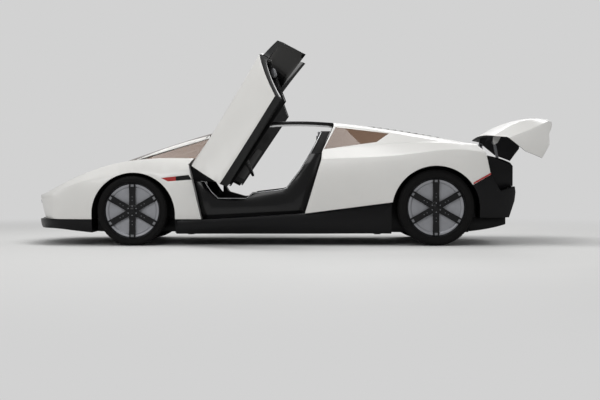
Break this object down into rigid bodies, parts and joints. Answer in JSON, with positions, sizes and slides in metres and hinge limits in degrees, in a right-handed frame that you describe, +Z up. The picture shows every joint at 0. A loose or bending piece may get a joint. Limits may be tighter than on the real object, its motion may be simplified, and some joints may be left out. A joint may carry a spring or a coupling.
{
  "type": "two-door supercar with dihedral doors",
  "caption": "Low wedge-shaped sports car with raised dihedral doors, a raised tail lid, steered front wheels and a hollow two-seat cabin.",
  "frame": {"origin": "on the ground below the centre of the whole car's box, doors and tail lid raised", "axes": "+X to the front of the car, +Y to its left, +Z up"},
  "size_m": [5.0062, 3.0208, 1.9379],
  "materials": {
    "body_paint": "satin pearl white paint",
    "tinted_glass": "bronze tinted glass",
    "gloss_black": "gloss black paint",
    "carbon_black": "satin black composite",
    "trim_black": "soft black trim",
    "upholstery": "dark grey woven cloth",
    "tyre": "black rubber",
    "wheel_black": "satin black alloy",
    "disc_grey": "light grey satin disc",
    "lamp_red": "red lamp lens",
    "metal": "cast and machined alloy"
  },
  "bodies": {
    "root": {"cabin_tub": "trim_black", "dashboard": "trim_black", "diffuser": "carbon_black", "front_clam": "body_paint", "front_quarter_glass": "tinted_glass", "front_splitter": "carbon_black", "front_wishbones": "metal", "pillar_strips": "body_paint", "power_unit": "metal", "rear_clam": "body_paint", "rear_fascia": "carbon_black", "rear_floor": "carbon_black", "rear_knuckles": "metal", "rear_quarter_glass": "tinted_glass", "rear_wishbones": "metal", "roof_frame": "gloss_black", "seat_backs": "upholstery", "seat_cushions": "upholstery", "side_lamps": "lamp_red", "sills": "carbon_black", "steering_wheel": "trim_black", "tail_lamps": "lamp_red", "tail_tub": "carbon_black", "windscreen": "tinted_glass"},
    "front_wheel_left": {"front_tyre_left": "tyre", "front_wheel_left": "wheel_black", "front_disc_left": "disc_grey"},
    "rear_wheel_left": {"rear_tyre_left": "tyre", "rear_wheel_left": "wheel_black", "rear_disc_left": "disc_grey"},
    "front_knuckle_left": {"front_knuckle_left": "metal"},
    "door_left": {"door_panel_left": "body_paint", "door_glass_left": "tinted_glass", "door_roof_left": "gloss_black"},
    "front_wheel_right": {"front_tyre_right": "tyre", "front_wheel_right": "wheel_black", "front_disc_right": "disc_grey"},
    "rear_wheel_right": {"rear_tyre_right": "tyre", "rear_wheel_right": "wheel_black", "rear_disc_right": "disc_grey"},
    "front_knuckle_right": {"front_knuckle_right": "metal"},
    "door_right": {"door_panel_right": "body_paint", "door_glass_right": "tinted_glass", "door_roof_right": "gloss_black"},
    "lid_arms": {"lid_arms": "metal"},
    "tail_lid": {"tail_lid": "body_paint"}
  },
  "joints": [
    {"name": "door_left", "type": "hinge", "parent": "root", "child": "door_left", "pos_m": [0.94107, 0.9, 0.79], "axis": [0.5412, 0.6803, -0.4942], "range_deg": [-67.1, 0]},
    {"name": "door_right", "type": "hinge", "parent": "root", "child": "door_right", "pos_m": [0.94107, -0.9, 0.79], "axis": [-0.5412, 0.6803, 0.4942], "range_deg": [-67.1, 0]},
    {"name": "steer_left", "type": "hinge", "parent": "root", "child": "front_knuckle_left", "pos_m": [1.50107, 0.8395, 0.3275], "axis": [0, 0, 1], "range_deg": [-30, 30]},
    {"name": "front_spin_left", "type": "hinge", "parent": "front_knuckle_left", "child": "front_wheel_left", "pos_m": [1.50107, 0.8395, 0.3275], "axis": [0, 1, 0], "continuous": true},
    {"name": "rear_spin_left", "type": "hinge", "parent": "root", "child": "rear_wheel_left", "pos_m": [-1.33893, 0.8325, 0.358], "axis": [0, 1, 0], "continuous": true},
    {"name": "steer_right", "type": "hinge", "parent": "root", "child": "front_knuckle_right", "pos_m": [1.50107, -0.8395, 0.3275], "axis": [0, 0, 1], "range_deg": [-30, 30]},
    {"name": "front_spin_right", "type": "hinge", "parent": "front_knuckle_right", "child": "front_wheel_right", "pos_m": [1.50107, -0.8395, 0.3275], "axis": [0, 1, 0], "continuous": true},
    {"name": "rear_spin_right", "type": "hinge", "parent": "root", "child": "rear_wheel_right", "pos_m": [-1.33893, -0.8325, 0.358], "axis": [0, 1, 0], "continuous": true},
    {"name": "lid_arm", "type": "hinge", "parent": "root", "child": "lid_arms", "pos_m": [-2.03593, 0, 0.567], "axis": [0, 1, 0], "range_deg": [0, 31]},
    {"name": "tail_lid", "type": "hinge", "parent": "lid_arms", "child": "tail_lid", "pos_m": [-1.95301, 0, 0.97848], "axis": [0, 1, 0], "range_deg": [-70, 0]}
  ],
  "couplings": [
    {"joint": "steer_right", "follows": "steer_left", "ratio": 1},
    {"joint": "tail_lid", "follows": "lid_arm", "ratio": -2.2581}
  ]
}
